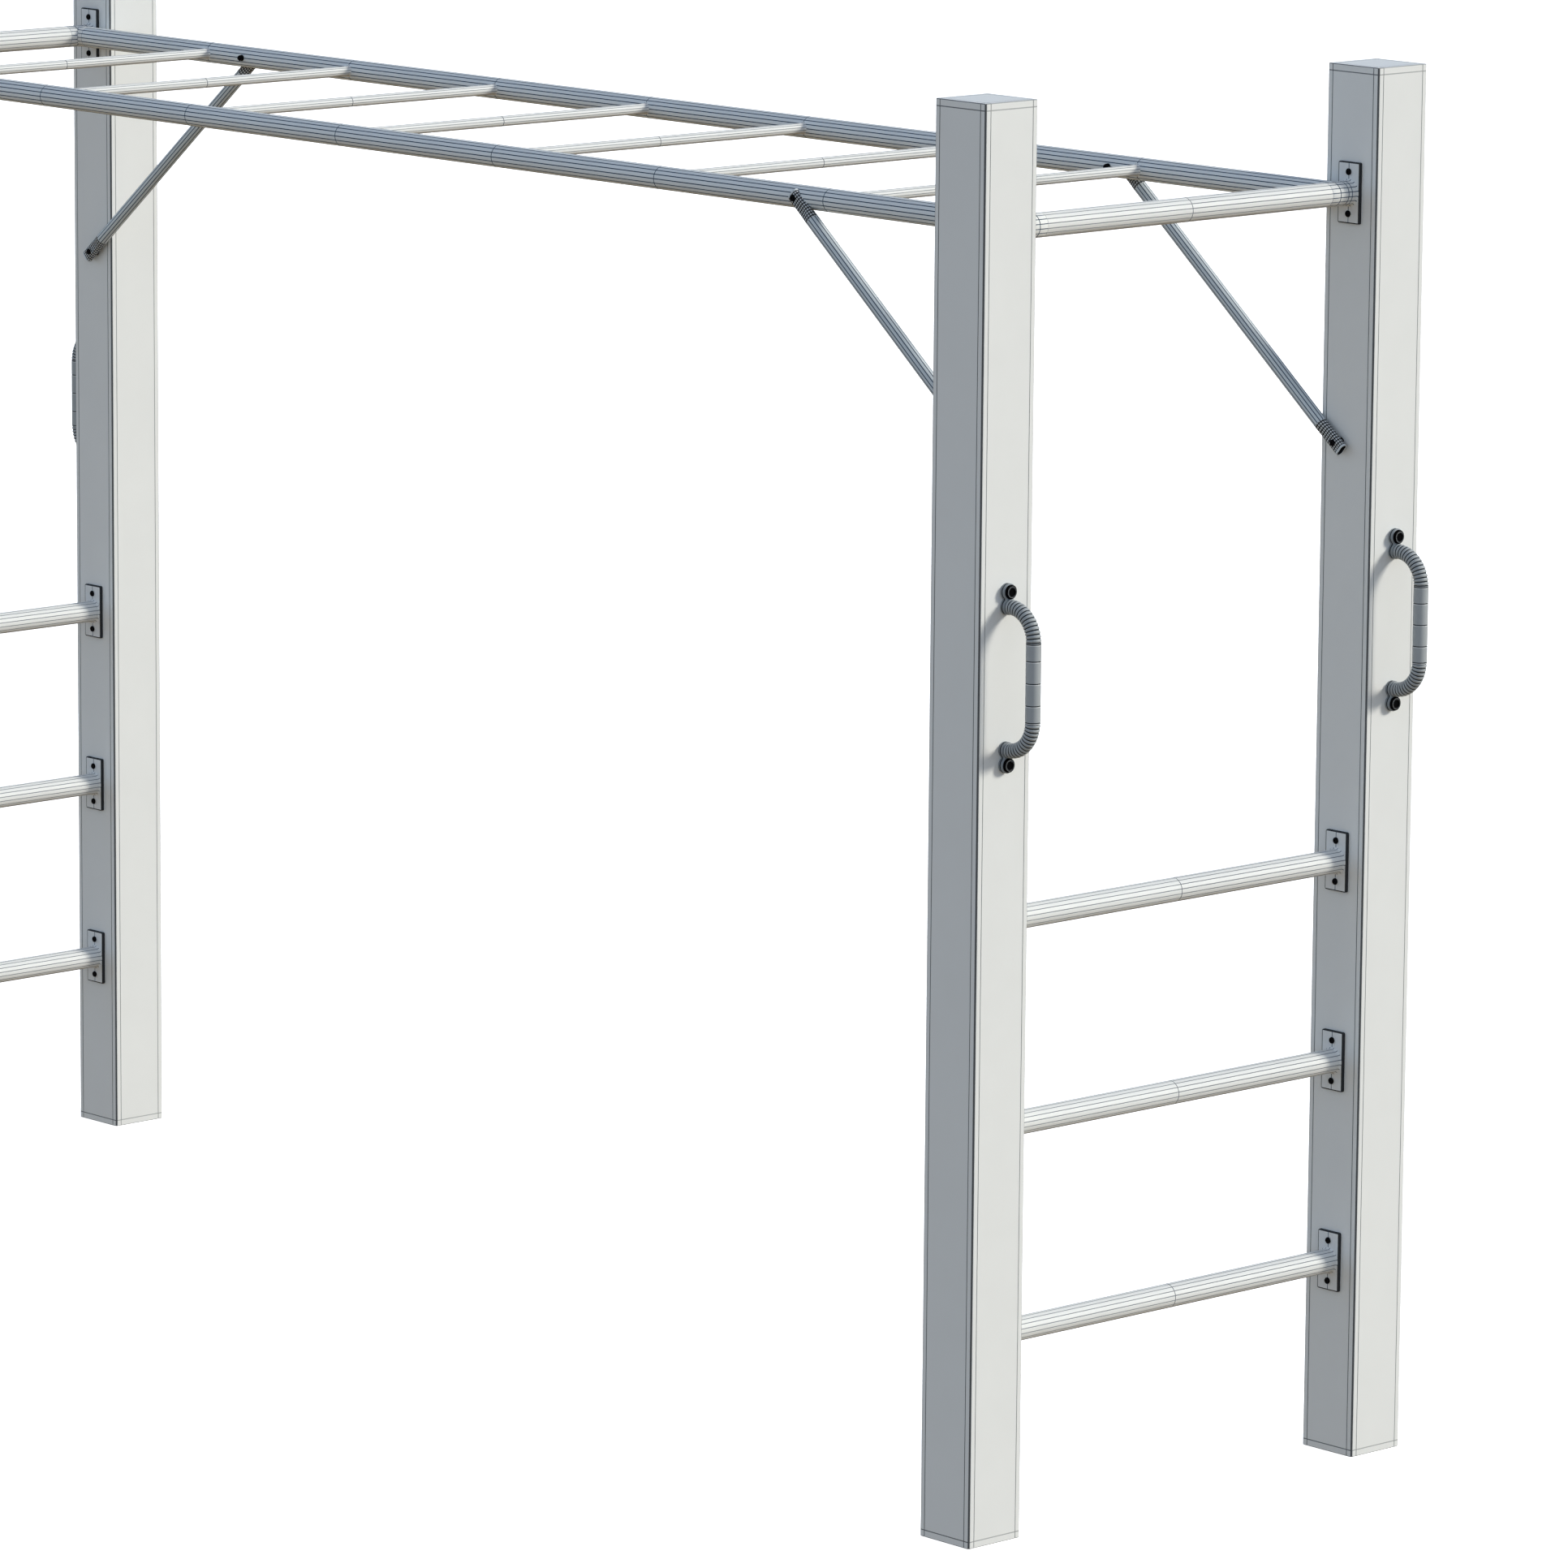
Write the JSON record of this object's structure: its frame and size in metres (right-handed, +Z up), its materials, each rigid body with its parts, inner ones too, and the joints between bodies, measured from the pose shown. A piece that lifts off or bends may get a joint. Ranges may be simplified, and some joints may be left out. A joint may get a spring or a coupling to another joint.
{
  "type": "monkey bars",
  "caption": "Free-standing monkey bars: square posts, an overhead ladder of round rungs, climbing rungs at both ends, corner braces and grab handles.",
  "frame": {"origin": "on the ground, in the middle of the four posts", "axes": "+X along the overhead ladder, +Y across it, +Z up"},
  "size_m": [3.1224, 0.87, 2.025],
  "materials": {
    "posts": "pale grey-white powder coat, satin",
    "caps": "pale grey-white moulded plastic, matt",
    "feet": "pale grey-white moulded plastic, matt",
    "overhead_frame": "pale grey-white powder coat, satin",
    "overhead_rungs": "pale grey-white powder coat, satin",
    "ladder_rungs": "pale grey-white powder coat, satin",
    "plates": "pale grey powder coat, satin",
    "braces": "pale grey powder coat, satin",
    "brace_ends": "dark grey powder coat, satin",
    "fasteners": "black zinc, satin",
    "inserts": "zinc-plated steel",
    "handles": "slate-grey moulded plastic, ribbed",
    "handle_feet": "slate-grey moulded plastic",
    "bolt_caps": "black moulded plastic"
  },
  "bodies": {
    "root": {"bolt_caps": "bolt_caps", "brace_ends_front_left": "brace_ends", "brace_ends_front_right": "brace_ends", "brace_ends_rear_left": "brace_ends", "brace_ends_rear_right": "brace_ends", "brace_front_left": "braces", "brace_front_right": "braces", "brace_post_bolts": "fasteners", "brace_rail_bolts": "fasteners", "brace_rail_nuts": "fasteners", "brace_rear_left": "braces", "brace_rear_right": "braces", "brace_spacers": "braces", "corner_tee_front_left": "overhead_frame", "corner_tee_front_right": "overhead_frame", "corner_tee_rear_left": "overhead_frame", "corner_tee_rear_right": "overhead_frame", "end_tube_left": "overhead_frame", "end_tube_right": "overhead_frame", "handle_bolts": "fasteners", "handle_feet": "handle_feet", "handle_front_left": "handles", "handle_front_right": "handles", "handle_rear_left": "handles", "handle_rear_right": "handles", "ladder_rung_left_high": "ladder_rungs", "ladder_rung_left_low": "ladder_rungs", "ladder_rung_left_middle": "ladder_rungs", "ladder_rung_right_high": "ladder_rungs", "ladder_rung_right_low": "ladder_rungs", "ladder_rung_right_middle": "ladder_rungs", "mounting_plates_front_left": "plates", "mounting_plates_front_right": "plates", "mounting_plates_rear_left": "plates", "mounting_plates_rear_right": "plates", "overhead_rung_1": "overhead_rungs", "overhead_rung_2": "overhead_rungs", "overhead_rung_3": "overhead_rungs", "overhead_rung_4": "overhead_rungs", "overhead_rung_5": "overhead_rungs", "overhead_rung_6": "overhead_rungs", "overhead_rung_7": "overhead_rungs", "plate_screws": "fasteners", "post_cap_front_left": "caps", "post_cap_front_right": "caps", "post_cap_rear_left": "caps", "post_cap_rear_right": "caps", "post_foot_front_left": "feet", "post_foot_front_right": "feet", "post_foot_rear_left": "feet", "post_foot_rear_right": "feet", "post_front_left": "posts", "post_front_right": "posts", "post_rear_left": "posts", "post_rear_right": "posts", "rivet_nuts": "inserts", "side_rail_front": "overhead_frame", "side_rail_rear": "overhead_frame"}
  },
  "joints": []
}
